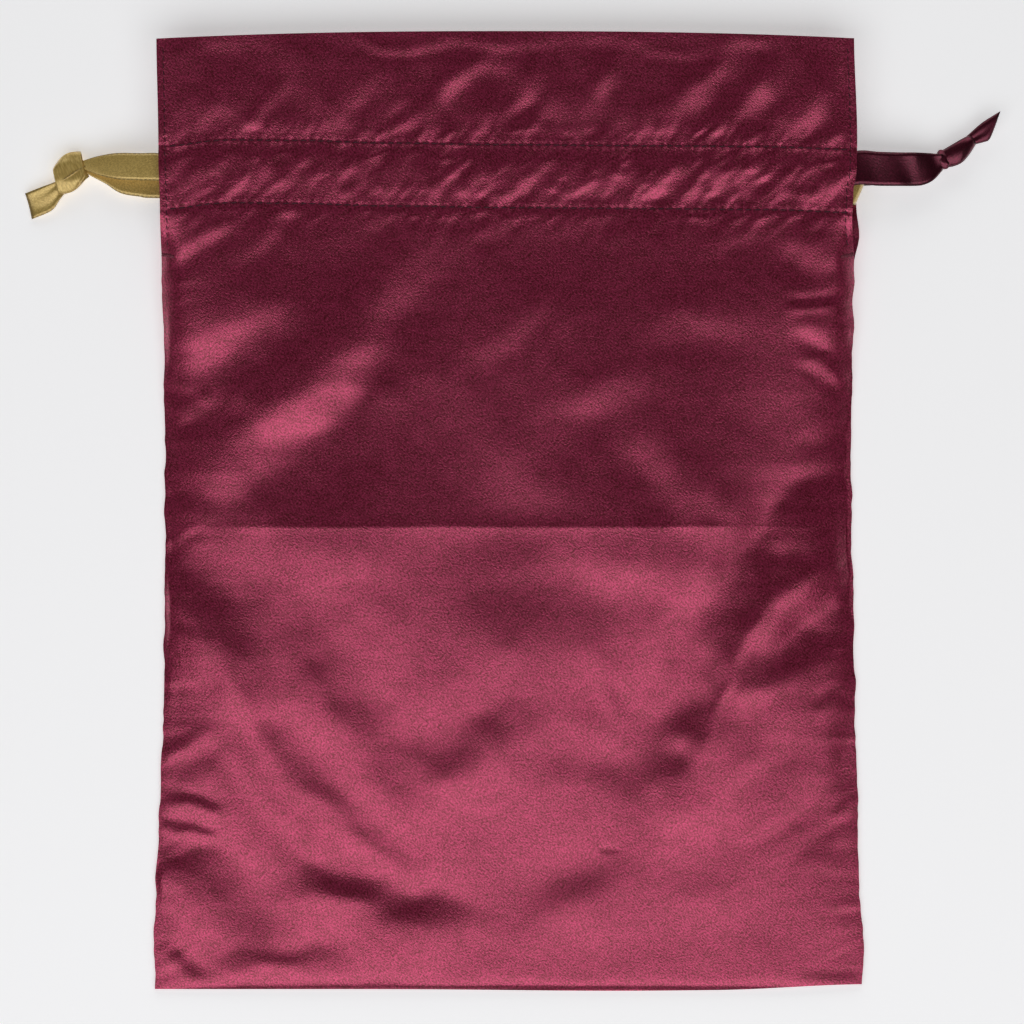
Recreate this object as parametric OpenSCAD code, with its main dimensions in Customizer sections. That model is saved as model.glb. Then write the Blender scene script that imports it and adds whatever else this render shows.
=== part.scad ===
// Satin drawstring gift sack, lying flat on its back with the mouth towards +Y.
// Z = 0 is the surface it lies on, and the origin is the middle of the sack.

/* [Sack] */
// Width of the sack halfway up, across the side seams
sack_w = 198; // [150:1:260]
// Height of the sack from the bottom edge to the mouth, at the sides
sack_h = 275; // [220:1:360]
// How far each side spreads at the mouth
mouth_flare = 1.5; // [0:0.5:3]
// How far each side spreads at the bottom
bottom_flare = 3; // [0:0.5:5]
// How far the mouth bows up in the middle
mouth_bow = 1.5; // [0:0.5:4]
// Thickness of the satin
cloth_t = 0.4; // [0.3:0.05:0.6]
// Radius of the turned bottom corners
corner_r = 3; // [1:0.5:6]
// Width of cloth turned in along the side and bottom seams
allowance_w = 7; // [5:0.5:9]

/* [Casing] */
// Height of the frill above the upper row of stitching
header_h = 32; // [22:1:45]
// Distance between the two rows of stitching
casing_h = 18; // [16:0.5:26]
// Depth of the side slits below the mouth
slit_h = 63; // [58:1:85]
// Width of the narrow hem along each slit
slit_hem_w = 2.3; // [1.5:0.1:3.5]
// Height of the gap that the mouth leaves
mouth_gap = 4.4; // [4.3:0.1:8]
// Stretch over which each slit opens above its bar tack
slit_rise = 8; // [5:1:10]

/* [Ribbons] */
// Width of the satin ribbons
ribbon_w = 10; // [8:0.5:10]
// Width that a ribbon gathers to where it turns round
turn_w = 5.4; // [4:0.2:5.4]
// Thickness of the ribbons
ribbon_t = 0.3; // [0.2:0.05:0.4]
// Distance from the gold knot to the edge of the mouth
gold_reach = 27; // [22:1:34]
// Distance from the burgundy knot to the edge of the mouth
burgundy_reach = 29; // [22:1:34]
// Width of the knots
knot_w = 9.6; // [8:0.2:11]
// Height of the knots
knot_t = 5.2; // [4:0.2:6]

/* [Sewing] */
// Thickness of the sewing thread
thread_t = 0.2; // [0.15:0.05:0.3]
// Width of a row of stitching
row_w = 0.5; // [0.4:0.1:0.8]
// Length of the bar tacks
tack_l = 3.7; // [3:0.1:5]

/* [Hidden] */

satin = [0.47, 0.11, 0.21];
satin_inside = [0.36, 0.08, 0.16];
thread_dark = [0.16, 0.02, 0.05];
gold = [0.71, 0.58, 0.31];
burgundy = [0.26, 0.04, 0.10];

// Clearance between pieces that move past each other, and between sewn layers
gap = 0.3;
layer = 0.05;
hem_t = 0.2;

half_h = sack_h / 2;
mouth_y = half_h;
upper_y = mouth_y - header_h;
lower_y = upper_y - casing_h;
slit_y = mouth_y - slit_h;

// Heights of the layers in the casing, from the surface up
gold_back_z = cloth_t + 2 * layer + hem_t + thread_t + gap;
burgundy_back_z = gold_back_z + ribbon_t + gap;
back_facing_z = burgundy_back_z + ribbon_t + gap;
front_facing_z = back_facing_z + cloth_t + mouth_gap;
gold_front_z = front_facing_z + cloth_t + gap;
burgundy_front_z = gold_front_z + ribbon_t + gap;
front_hem_z = burgundy_front_z + ribbon_t + gap;
front_z = front_hem_z + hem_t + layer;

// Heights and reaches near the side seams
seam_z = cloth_t + 0.35;
seam_thread_z = cloth_t + layer + thread_t * 0.75;
roll = 12;
allowance_in = 2;
thread_in = 0.9;
facing_half = sack_w / 2 - slit_hem_w + 0.8;

// The ribbons keep to the upper part of the casing where they leave it,
// and to its lower part where they turn round.
exit_y = upper_y - gap - 1 - ribbon_w / 2;
turn_y = lower_y + 1 + turn_w / 2;
shift_from = sack_w * 0.12;
shift_to = sack_w * 0.28;

function ease(t) = let (k = max(0, min(1, t))) k * k * (3 - 2 * k);

// Half width of the sack at a height y
function half_w(y) =
    sack_w / 2
    + mouth_flare * pow(max(0, y) / half_h, 2)
    + bottom_flare * pow(max(0, -y) / half_h, 2);

// How far the front has risen at a distance d in from an edge
function rise(d) = 1 - exp(-pow(max(0, d) / roll, 1.2));

// Underside of the front panel at x, y: down on the seams, up in the casing
function under_z(x, y) =
    let (side = rise(half_w(y) - abs(x)))
    let (open = ease((y - slit_y) / slit_rise))
    let (low = rise(y + half_h))
    seam_z + (front_z - seam_z) * (side + (1 - side) * open) * low;

function over_z(x, y) = under_z(x, y) + cloth_t;

// Grid lines: close together near an edge, where the cloth curves down
edge_steps = [0, 0.01, 0.02, 0.04, 0.08, 0.14, 0.22, 0.34, 0.5, 0.66, 0.82];
columns = concat(
    [for (s = edge_steps) s - 1],
    [0],
    [for (i = [len(edge_steps) - 1:-1:0]) 1 - edge_steps[i]]
);
low_steps = [0, 1, 2, 4, 8, 14, 22];
rows = concat(
    [for (d = low_steps) d - half_h],
    [for (i = [1:7]) -half_h + 22 + (slit_y + half_h - 22) * i / 8],
    [for (i = [0:6]) slit_y + slit_rise * i / 6],
    [for (i = [1:5]) slit_y + slit_rise + (mouth_y - slit_y - slit_rise) * i / 5]
);

// Skins a closed shell over two grids of points that face each other
module shell(top, bottom, nx, ny) {
    n = nx * ny;
    function at(i, j) = j * nx + i;
    polyhedron(
        points = concat(top, bottom),
        faces = concat(
            [for (j = [0:ny - 2], i = [0:nx - 2])
                [at(i, j), at(i, j + 1), at(i + 1, j + 1)]],
            [for (j = [0:ny - 2], i = [0:nx - 2])
                [at(i, j), at(i + 1, j + 1), at(i + 1, j)]],
            [for (j = [0:ny - 2], i = [0:nx - 2])
                [n + at(i, j), n + at(i + 1, j + 1), n + at(i, j + 1)]],
            [for (j = [0:ny - 2], i = [0:nx - 2])
                [n + at(i, j), n + at(i + 1, j), n + at(i + 1, j + 1)]],
            [for (i = [0:nx - 2]) [at(i, 0), at(i + 1, 0), n + at(i + 1, 0)]],
            [for (i = [0:nx - 2]) [at(i, 0), n + at(i + 1, 0), n + at(i, 0)]],
            [for (i = [0:nx - 2])
                [at(i, ny - 1), n + at(i + 1, ny - 1), at(i + 1, ny - 1)]],
            [for (i = [0:nx - 2])
                [at(i, ny - 1), n + at(i, ny - 1), n + at(i + 1, ny - 1)]],
            [for (j = [0:ny - 2]) [at(0, j), n + at(0, j + 1), at(0, j + 1)]],
            [for (j = [0:ny - 2]) [at(0, j), n + at(0, j), n + at(0, j + 1)]],
            [for (j = [0:ny - 2])
                [at(nx - 1, j), at(nx - 1, j + 1), n + at(nx - 1, j + 1)]],
            [for (j = [0:ny - 2])
                [at(nx - 1, j), n + at(nx - 1, j + 1), n + at(nx - 1, j)]]
        )
    );
}

// A flat strip swept along points: each is [middle, width], lying across side
module strip(path, side, t) {
    n = len(path);
    function along(i) =
        let (a = path[max(0, i - 1)][0], b = path[min(n - 1, i + 1)][0])
        (b - a) / norm(b - a);
    function ring(i) =
        let (p = path[i][0], w = path[i][1] / 2)
        let (up = cross(along(i), side), lift = up / norm(up) * t / 2)
        [p - side * w - lift, p + side * w - lift, p + side * w + lift, p - side * w + lift];
    polyhedron(
        points = [for (i = [0:n - 1]) each ring(i)],
        faces = concat(
            [[0, 1, 2], [0, 2, 3]],
            [for (i = [0:n - 2], k = [0:3])
                [4 * i + k, 4 * (i + 1) + (k + 1) % 4, 4 * i + (k + 1) % 4]],
            [for (i = [0:n - 2], k = [0:3])
                [4 * i + k, 4 * (i + 1) + k, 4 * (i + 1) + (k + 1) % 4]],
            [[4 * n - 4, 4 * n - 2, 4 * n - 3], [4 * n - 4, 4 * n - 1, 4 * n - 2]]
        )
    );
}

// Upper edge of the mouth at x, with its bow
function mouth_at(x) = mouth_y + mouth_bow * (1 - pow(x / half_w(mouth_y), 2));

// Outline of a panel, with its flared sides, bowed mouth and turned corners
module panel_outline() {
    ys = [for (i = [0:24]) -half_h + sack_h * i / 24];
    xs = [for (i = [1:15]) 1 - i / 8];
    offset(r = corner_r, $fn = 32)
        offset(delta = -corner_r)
            polygon(concat(
                [for (y = ys) [half_w(y), y]],
                [for (s = xs) [half_w(mouth_y) * s, mouth_at(half_w(mouth_y) * s)]],
                [for (i = [24:-1:0]) [-half_w(ys[i]), ys[i]]]
            ));
}

module front_panel() {
    function spot(s, y) =
        let (x = s * half_w(y))
        let (bow = ease((y - upper_y) / header_h) * mouth_bow * (1 - s * s))
        [x, y + bow];
    color(satin)
        shell(
            [for (y = rows, s = columns)
                let (p = spot(s, y)) [p.x, p.y, over_z(p.x, y)]],
            [for (y = rows, s = columns)
                let (p = spot(s, y)) [p.x, p.y, under_z(p.x, y)]],
            len(columns), len(rows)
        );
}

module back_panel() {
    color(satin)
        linear_extrude(cloth_t)
            panel_outline();
}

// Turned-down hem, lying on its panel but standing off it between the two rows
module facing(off) {
    top = mouth_y - 1.5;
    wall = 1.2;
    end = lower_y - 5;
    profile = [
        [top, 0], [upper_y + wall, 0], [upper_y - gap, off], [lower_y + gap, off],
        [lower_y - wall, 0], [end, 0]
    ];
    rotate([90, 0, 90])
        linear_extrude(2 * facing_half, center = true)
            polygon(concat(
                profile,
                [for (i = [len(profile) - 1:-1:0]) profile[i] + [0, cloth_t]]
            ));
}

module front_facing() {
    color(satin_inside)
        translate([0, 0, front_z - layer])
            mirror([0, 0, 1])
                facing(front_z - layer - front_facing_z - cloth_t);
}

module back_facing() {
    color(satin_inside)
        translate([0, 0, cloth_t + layer])
            facing(back_facing_z - cloth_t - layer);
}

// Cloth turned in along a side seam, two layers thick, hand is -1 or 1
module side_allowance(hand) {
    foot = -half_h + 2 * allowance_w;
    ys = [for (i = [0:12]) foot + (slit_y - foot) * i / 12];
    outer = [for (y = ys) [hand * (half_w(y) - allowance_in), y]];
    inner = [for (i = [12:-1:0])
        [hand * (half_w(ys[i]) - allowance_in - allowance_w), ys[i]]];
    color(satin_inside)
        translate([0, 0, cloth_t + 2 * layer])
            linear_extrude(2 * cloth_t)
                polygon(concat(outer, inner));
}

module bottom_seam_allowance() {
    color(satin_inside)
        translate([0, -half_h + allowance_in + allowance_w / 2, 2 * cloth_t + 2 * layer])
            cube([sack_w - 4 * allowance_w, allowance_w, 2 * cloth_t], center = true);
}

module seam_thread(points, side) {
    color(thread_dark)
        strip([for (p = points) [p, row_w * 0.7]], side, thread_t * 1.5);
}

module side_seam_thread(hand) {
    foot = -half_h + corner_r + 1;
    seam_thread(
        [for (i = [0:20])
            let (y = foot + (slit_y - foot) * i / 20)
            [hand * (half_w(y) - thread_in), y, seam_thread_z]],
        [1, 0, 0]
    );
}

module bottom_seam_thread() {
    reach = half_w(-half_h) - corner_r - 1;
    seam_thread(
        [for (s = [-1, 1]) [s * reach, -half_h + thread_in, seam_thread_z]],
        [0, 1, 0]
    );
}

// Row of stitching across a panel at y, with its underside at z
module casing_row(y, z) {
    color(thread_dark)
        translate([0, y, z + thread_t / 2])
            cube([2 * (facing_half - 1), row_w, thread_t], center = true);
}

// Narrow hem along a slit, above the stretch where the slit opens
module slit_hem(hand, z) {
    ys = [for (i = [0:6])
        slit_y + slit_rise + 0.5 + (mouth_y - 2 - slit_y - slit_rise) * i / 6];
    color(satin_inside)
        translate([0, 0, z])
            linear_extrude(hem_t)
                polygon(concat(
                    [for (y = ys) [hand * (half_w(y) - 0.2), y]],
                    [for (i = [6:-1:0]) [hand * (half_w(ys[i]) - slit_hem_w + 0.3), ys[i]]]
                ));
}

// Row of stitching along a slit hem
module slit_row(hand, z) {
    ys = [for (i = [0:6])
        slit_y + slit_rise + 1 + (mouth_y - 3 - slit_y - slit_rise) * i / 6];
    color(thread_dark)
        strip(
            [for (y = ys)
                [[hand * (half_w(y) - slit_hem_w / 2), y, z + thread_t / 2], row_w]],
            [1, 0, 0], thread_t
        );
}

// Dense stitches that close the foot of a slit, lying on the front panel
module bar_tack(hand) {
    reach = [for (i = [0:6]) tack_l * i / 6];
    color(thread_dark)
        strip(
            [for (d = reach)
                let (x = half_w(slit_y) - 0.3 - d)
                [[hand * x, slit_y - 1, over_z(x, slit_y - 1) + thread_t + layer], 1.3]],
            [0, 1, 0], thread_t * 2
        );
}

// Loop of ribbon as it runs in the casing, knot end at -X, from its two heights
module ribbon_loop(front, back, front_y, back_y, reach, out) {
    edge = half_w(exit_y);
    mid = knot_t / 2;
    turn_x = edge + out;
    bend = (front - back) / 2;
    centre = (front + back) / 2;
    tip = -edge - reach;
    tie = exit_y;
    // Ends at the knot, from the knot to the edge: share, width, height share
    taper = [[0.05, 0.35, 0.1], [0.25, 0.62, 0.28], [0.5, 0.9, 0.6], [0.75, 1, 0.88]];
    function strand(y, z, s) =
        [for (k = taper)
            [[tip + reach * k[0], tie + (y - tie) * k[0], mid + s + (z - mid - s) * k[2]],
             ribbon_w * k[1]]];
    front_run = concat(
        strand(front_y, front, 0.8),
        [[[-edge, front_y, front], ribbon_w], [[shift_from, front_y, front], ribbon_w]]
    );
    back_run = concat(
        strand(back_y, back, -0.8),
        [[[-edge, back_y, back], ribbon_w], [[shift_from, back_y, back], ribbon_w]]
    );
    narrow = [for (k = [0:4]) k / 4];
    function crossing(y, z) =
        [for (k = narrow)
            [[shift_from + 2 + (shift_to - shift_from) * k, y + (turn_y - y) * ease(k), z],
             ribbon_w + (turn_w - ribbon_w) * ease(k)]];
    turn = [for (i = [0:8])
        let (a = 90 - 180 * i / 8)
        [[turn_x - 3 + 3 * cos(a), turn_y, centre + bend * sin(a)], turn_w]];
    strip(
        concat(
            front_run, crossing(front_y, front), turn,
            [for (i = [4:-1:0]) crossing(back_y, back)[i]],
            [for (i = [len(back_run) - 1:-1:0]) back_run[i]]
        ),
        [0, 1, 0], ribbon_t
    );
}

// Knot with its tail: tail runs from the knot to the cut end, with its widths
module knot(lean, tail) {
    side = knot_w / 2;
    ball = knot_t / 2;
    hull()
        for (s = [[-1, -0.6], [1, -0.6], [1, 0.6], [-1, 0.6]])
            translate([0, 0, ball])
                rotate([0, 0, lean])
                    translate([s[0] * (side - ball), s[1] * (side - ball) * 1.3, 0])
                        sphere(r = ball, $fn = 24);
    end = tail[len(tail) - 1][0];
    start = tail[0][0];
    dir = (end - start) / norm(end - start);
    strip(tail, cross([0, 0, 1], dir) / norm(cross([0, 0, 1], dir)), ribbon_t);
}

module gold_ribbon() {
    color(gold)
        ribbon_loop(
            gold_front_z + ribbon_t / 2, gold_back_z + ribbon_t / 2,
            exit_y, exit_y - 3, gold_reach, 1.8
        );
}

module gold_knot() {
    color(gold)
        translate([-half_w(exit_y) - gold_reach, exit_y - 0.5, 0])
            knot(55, [
                [[-2, -1, 2.6], 5], [[-5, -5, 2.4], 6.5],
                [[-8, -8, 1.6], 8.4], [[-11, -9.8, 0.9], 9]
            ]);
}

module burgundy_ribbon() {
    color(burgundy)
        mirror([1, 0, 0])
            ribbon_loop(
                burgundy_front_z + ribbon_t / 2, burgundy_back_z + ribbon_t / 2,
                exit_y, exit_y, burgundy_reach, -0.4
            );
}

module burgundy_knot() {
    color(burgundy)
        translate([half_w(exit_y) + burgundy_reach, exit_y + 2.2, 0])
            knot(30, [
                [[2, 1.5, 2.6], 5], [[5.5, 5, 2.9], 7], [[8, 8.5, 3.3], 7.6], [[11, 13, 3.9], 3]
            ]);
}

front_panel();
back_panel();
front_facing();
back_facing();
side_allowance(-1);  // left_seam_allowance
side_allowance(1);  // right_seam_allowance
bottom_seam_allowance();
side_seam_thread(-1);  // left_seam_thread
side_seam_thread(1);  // right_seam_thread
bottom_seam_thread();
casing_row(upper_y, front_z + cloth_t);  // front_upper_stitching
casing_row(lower_y, front_z + cloth_t);  // front_lower_stitching
casing_row(upper_y + 2, 2 * cloth_t + layer);  // back_upper_stitching
casing_row(lower_y - 2, 2 * cloth_t + layer);  // back_lower_stitching
slit_hem(-1, front_hem_z);  // front_left_slit_hem
slit_hem(1, front_hem_z);  // front_right_slit_hem
slit_hem(-1, cloth_t + layer);  // back_left_slit_hem
slit_hem(1, cloth_t + layer);  // back_right_slit_hem
slit_row(-1, front_z + cloth_t);  // front_left_slit_stitching
slit_row(1, front_z + cloth_t);  // front_right_slit_stitching
slit_row(-1, cloth_t + layer + hem_t);  // back_left_slit_stitching
slit_row(1, cloth_t + layer + hem_t);  // back_right_slit_stitching
bar_tack(-1);  // left_bar_tack
bar_tack(1);  // right_bar_tack
gold_ribbon();
gold_knot();
burgundy_ribbon();
burgundy_knot();
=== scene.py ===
import math
from functools import lru_cache

import bpy
import numpy as np
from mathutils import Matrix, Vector


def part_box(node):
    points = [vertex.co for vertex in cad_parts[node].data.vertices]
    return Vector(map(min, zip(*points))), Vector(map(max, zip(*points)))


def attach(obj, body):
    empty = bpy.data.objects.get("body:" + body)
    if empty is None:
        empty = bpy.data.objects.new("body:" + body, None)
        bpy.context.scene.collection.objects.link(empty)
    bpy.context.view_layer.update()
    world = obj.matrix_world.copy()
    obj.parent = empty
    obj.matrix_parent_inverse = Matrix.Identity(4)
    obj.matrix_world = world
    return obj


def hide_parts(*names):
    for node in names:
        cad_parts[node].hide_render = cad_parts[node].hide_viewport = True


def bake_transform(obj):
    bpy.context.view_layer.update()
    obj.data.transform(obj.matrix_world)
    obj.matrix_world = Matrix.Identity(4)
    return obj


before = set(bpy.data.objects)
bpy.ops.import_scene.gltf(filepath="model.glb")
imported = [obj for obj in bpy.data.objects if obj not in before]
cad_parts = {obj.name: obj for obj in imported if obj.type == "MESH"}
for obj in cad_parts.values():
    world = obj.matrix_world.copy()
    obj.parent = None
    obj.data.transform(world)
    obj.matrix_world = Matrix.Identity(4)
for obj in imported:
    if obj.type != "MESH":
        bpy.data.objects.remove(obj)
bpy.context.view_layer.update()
mm = 0.001

# Places in millimetres, all but the crease taken from the frame
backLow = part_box("back_panel")[0]
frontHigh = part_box("front_panel")[1]
goldLow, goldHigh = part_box("gold_ribbon")
burgundyLow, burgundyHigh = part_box("burgundy_ribbon")
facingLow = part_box("front_facing")[0]
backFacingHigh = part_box("back_facing")[1]
place = {
    "bottom": backLow.y / mm,
    "halfWidth": frontHigh.x / mm - 3.0,
    "upperRow": sum(v.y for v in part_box("front_upper_stitching")) / 2 / mm,
    "lowerRow": sum(v.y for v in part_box("front_lower_stitching")) / 2 / mm,
    "slit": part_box("left_seam_allowance")[1].y / mm,
    "frontTop": frontHigh.z / mm - 0.15,
    "goldFront": goldHigh.z / mm - 0.15,
    "goldBack": goldLow.z / mm + 0.15,
    "burgundyFront": burgundyHigh.z / mm - 0.15,
    "burgundyBack": burgundyLow.z / mm + 0.15,
    "frontFacing": facingLow.z / mm,
    "backFacing": backFacingHigh.z / mm,
    "crease": -4.2,  # height of the fold across the middle
}
signOf = {"left": -1, "right": 1}
sides = {"left": "left_side", "right": "right_side"}
cloth = {"panel": 0.3, "facing": 0.24, "turnedIn": 0.16}  # thicknesses
# How far each layer or thread stands off the face of the panel that it lies by
standOff = {
    "facingUnderFront": 0.14, "facingOverBack": 0.44, "hemUnderFront": 0.12, "hemOverBack": 0.26,
    "allowanceUnderFront": 0.06, "allowanceOverBack": 0.7, "rowThread": 0.46, "slitThread": 0.3,
    "seamThread": 0.1, "tackThread": 0.1,
}

# Stitches, shared by the threads and by the grooves that they press into the cloth
sewing = {"pitch": 2.5, "length": 2.15, "radius": 0.19, "slant": 0.12, "sides": 6, "rings": 7}
fineStitch = dict(sewing, pitch=2.1, length=1.75, radius=0.15, slant=0.3)
hiddenStitch = dict(fineStitch, radius=0.08)
tackStitch = dict(sewing, pitch=1.12, length=1.1, radius=0.2, slant=0.0)
hem = {"stitch": 1.9, "outer": 0.25, "inner": 2.6}  # distances in from the slit's edge


def ease(t):
    # Smooth step from 0 to 1: t^2 * (3 - 2t)
    t = np.clip(t, 0, 1)
    return t * t * (3 - 2 * t)


def curveThrough(stops, at):
    # Eases from one given stop to the next, so the line has no corners
    at = np.asarray(at, float)
    out = np.full(at.shape, float(stops[0][1]))
    for (a, va), (b, vb) in zip(stops, stops[1:]):
        out = np.where(at > a, va + (vb - va) * ease((at - a) / (b - a)), out)
    return out


@lru_cache(maxsize=None)
def latticeTable(seed):
    # The same random values for the same seed, made once
    return np.random.RandomState(seed).uniform(-1, 1, (256, 256))


def latticeNoise(x, y, cell, seed):
    # Random values on a square lattice, eased between the four nearest, from -1 to 1
    table = latticeTable(seed)
    gx, gy = x / cell + 100.0, y / cell + 100.0
    ix, iy = np.floor(gx).astype(int), np.floor(gy).astype(int)
    fx, fy = ease(gx - ix), ease(gy - iy)
    ix, iy = ix % 255, iy % 255
    low = table[iy, ix] * (1 - fx) + table[iy, ix + 1] * fx
    high = table[iy + 1, ix] * (1 - fx) + table[iy + 1, ix + 1] * fx
    return low * (1 - fy) + high * fy


# The outline as seen from above: (height, edge) going up each side
leftEdge = [
    (-138, -101.9), (-122, -102.1), (-82, -100.5), (-54, -99.4), (20, -99.0), (88, -99.8),
    (104, -100.2), (138, -100.7),
]
rightEdge = [
    (-138, 102.2), (-128, 102.4), (-97, 100.6), (-51, 99.8), (4, 98.8), (72, 99.3), (84, 98.4),
    (92, 98.7), (98, 99.6), (106, 99.8), (138, 98.8),
]
backRight = [
    (-138, 102.2), (-128, 102.4), (-97, 100.6), (-51, 99.8), (4, 98.8), (71, 99.3), (80, 101.0),
    (88, 100.3), (98, 99.2), (106, 99.4), (138, 98.5),
]
# (place across, rise) of both rows of stitching, which wander from side to side
rowSag = [
    (-100, -0.8), (-80, 1.1), (-60, 0.9), (-35, 0.2), (0, -0.3), (40, -0.6), (75, -0.9), (100, -1.7),
]


def edgeX(y, hand, back=False):
    # The side seam at a height: the eased stops plus two small wobbles below the slit
    stops = leftEdge if hand < 0 else backRight if back else rightEdge
    wobble = 0.28 * latticeNoise(y, y * 0, 5.5, 31 + hand) + 0.15 * latticeNoise(y, y * 0, 2.3, 41 + hand)
    return curveThrough(stops, y) + wobble * ease((place["slit"] - y) / 12)


def mouthY(x):
    # Bows up in the middle: 135.5 + 2.1 * (1 - |x / 100|^2.4)
    return 135.5 + 2.1 * (1 - np.abs(x / 100) ** 2.4)


def bottomY(x):
    # Sags a little right of the middle and lifts at the right corner
    return -137.4 - 0.5 * np.exp(-((x - 30) / 40) ** 2) + 1.4 * ease((x - 60) / 42)


def rowY(x, row):
    # Height of a row of stitching at a place across
    return place[row] + curveThrough(rowSag, x)


# The front's relief. A fold runs from x, y to x, y, bows sideways, and tilts over its width
folds = [
    (-88, 8, -16, 88, -9, 9, 0.15), (-101, 36, -58, 60, 1, 10, 0.16), (-100, 25, -78, 36, 0, 5, 0.15),
    (-98, 67, -76, 84, 0, 4, 0.14), (-78, 68, -58, 88, 0, 4, 0.11), (-101, 13, -72, 1, 3, 8, 0.11),
    (34, 24, 60, -6, 0, 9, 0.11), (-12, 40, 14, 64, 0, 7, 0.06), (76, 77, 99, 70, 0, 5, 0.14),
    (78, 60, 100, 62, 0, 3.0, -0.22), (82, 51, 100, 44, 1, 3.6, 0.16), (82, 41, 100, 34, 1, 3.2, 0.16),
    (80, 19, 100, 27, 0, 4, 0.13), (76, 6, 98, 17, 0, 5, 0.12), (68, 42, 82, 18, 0, 8, 0.05),
    (-108, -7, -62, -56, 2, 13, -0.17), (-70, -14, -34, -74, 0, 11, -0.12),
    (-78, -46, -18, -106, -7, 6, -0.14), (-92, -58, -30, -114, -6, 4.5, 0.06),
    (-34, -81, 6, -55, 0, 10, -0.13), (32, -96, 92, 14, 1, 12, -0.30), (56, -68, 76, -24, 1, 2.8, 0.16),
    (62, -47, 102, -33, -3, 7, -0.24), (66, -58, 101, -46, 0, 9, -0.10),
    (66, -34, 101, -21, 2, 8, 0.09), (24, -32, 38, -60, 0, 4, -0.07),
    (-103, -95, -72, -117, 1, 9, -0.17), (-66, -99, -10, -121, 0, 9.5, -0.17),
    (-90, -127, -42, -131, 0, 5.5, -0.13), (64, -98, 100, -46, -8, 5.5, 0.09),
    (80, -110, 101, -62, -6, 4.5, -0.06), (60, -86, 86, -60, -4, 5, -0.06),
    (-101, -79, -84, -84, 0, 2.4, -0.24), (-101, -87, -83, -93, 0, 2.8, -0.24),
    (-100, -74, -84, -65, 0, 3.4, 0.16), (-101, -122, -88, -134, 0, 4, -0.15),
    (86, -58, 101, -52, 0, 2.4, -0.12), (-24, 106, -6, 132, 0, 4.5, 0.22),
    (-4, 107, 8, 126, 0, 4, 0.14), (20, 106, 36, 130, 0, 5, 0.20), (46, 106, 64, 132, 0, 5, 0.26),
    (62, 107, 80, 130, 0, 4.5, 0.22), (80, 107, 96, 128, 0, 5, 0.20), (-52, 106, -38, 126, 0, 4, 0.14),
    (-74, 106, -62, 120, 0, 4, 0.10), (-94, 107, -84, 118, 0, 4, 0.10), (-60, 133, 20, 134, 0, 3, 0.10),
    (30, 131, 90, 132, 0, 3, 0.08),
]
# Each swell: middle x, y, reach along and across, lean in degrees, tilt across
swells = [
    (-57, 27, 21, 17, 38, 0.19), (27, 31, 14, 9, 15, 0.10), (53, 54, 15, 8, 8, 0.09),
    (30, -20, 12, 11, 0, 0.07), (78, -12, 16, 14, 60, -0.13), (62, -73, 12, 9, 30, -0.09),
    (18, -109, 18, 10, 20, -0.12), (17, -66, 24, 18, 80, 0.05), (-20, -122, 16, 6, 0, 0.06),
    (55, -118, 22, 9, 8, 0.04), (-85, -52, 14, 9, -40, 0.06), (-48, -14, 14, 9, 10, 0.05),
    (-49, 34, 13, 8, 38, 0.10), (90, -29, 9, 9, 0, 0.11), (61, 96, 9, 6, 20, 0.09),
    (38, 91, 8, 5, 10, 0.07), (14, -11, 18, 8, 0, -0.09), (65, -63, 13, 13, 12, -0.12),
    (-31, -82, 10, 8, -40, -0.07), (52, -80, 10, 8, 0, -0.06), (-32, -121, 14, 10, 0, -0.13),
    (-70, -120, 10, 9, 0, -0.09), (-50, -107, 12, 8, 0, -0.08), (70, -10, 9, 8, 0, -0.06),
    (-40, 41, 12, 6, 40, 0.09), (-88, 131, 9, 6, 10, 0.07), (20, -66, 14, 8, 0, 0.07),
    (90, -85, 8, 13, 0, 0.06),
]


def swell(x, y, item):
    # A height that tilts across its middle and dies away: tilt * b * exp(-(a/along)^2 - (b/across)^2)
    cx, cy, along, across, lean, tilt = item
    c, s = math.cos(math.radians(lean)), math.sin(math.radians(lean))
    a = (x - cx) * c + (y - cy) * s
    b = (y - cy) * c - (x - cx) * s
    return tilt * b * np.exp(-(a / along) ** 2 - (b / across) ** 2)


def bowedFold(x, y, item):
    # The same tilt carried along a bowed line from end to end: b is measured from the bowed line
    x0, y0, x1, y1, bow, width, tilt = item
    length = math.hypot(x1 - x0, y1 - y0)
    c, s = (x1 - x0) / length, (y1 - y0) / length
    t = ((x - x0) * c + (y - y0) * s) / length
    b = (y - y0) * c - (x - x0) * s - bow * 4 * t * (1 - t)
    ends = ease(np.minimum(t, 1 - t) * 2.6 + 0.15)
    return tilt * b * np.exp(-(b / width) ** 2) * ends


def seamPuckers():
    # Short folds that run in from the side seams, where the thread draws the cloth up
    rng = np.random.RandomState(7)
    found = []
    for hand in (-1, 1):
        y = place["bottom"] + 6
        while y < place["slit"] - 3:
            reach = rng.uniform(4, 9)
            strong = rng.uniform(0.04, 0.15) * (1 if rng.rand() > 0.35 else 0.35)
            lean = rng.uniform(4, 38) * (1 if rng.rand() > 0.3 else -1)
            x = hand * (place["halfWidth"] - reach * 0.35)
            found.append((x, y, reach, rng.uniform(1.2, 2.4), lean, strong))
            y += rng.uniform(3.2, 8.5)
    return found


# (place across, strength) of the puckers in the casing
casingPower = [
    (-100, 0.8), (-70, 0.9), (-50, 1.0), (-30, 1.2), (-15, 1.6), (0, 1.2), (15, 0.9), (30, 1.2),
    (45, 1.6), (60, 1.8), (80, 1.4), (100, 1.1),
]


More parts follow.
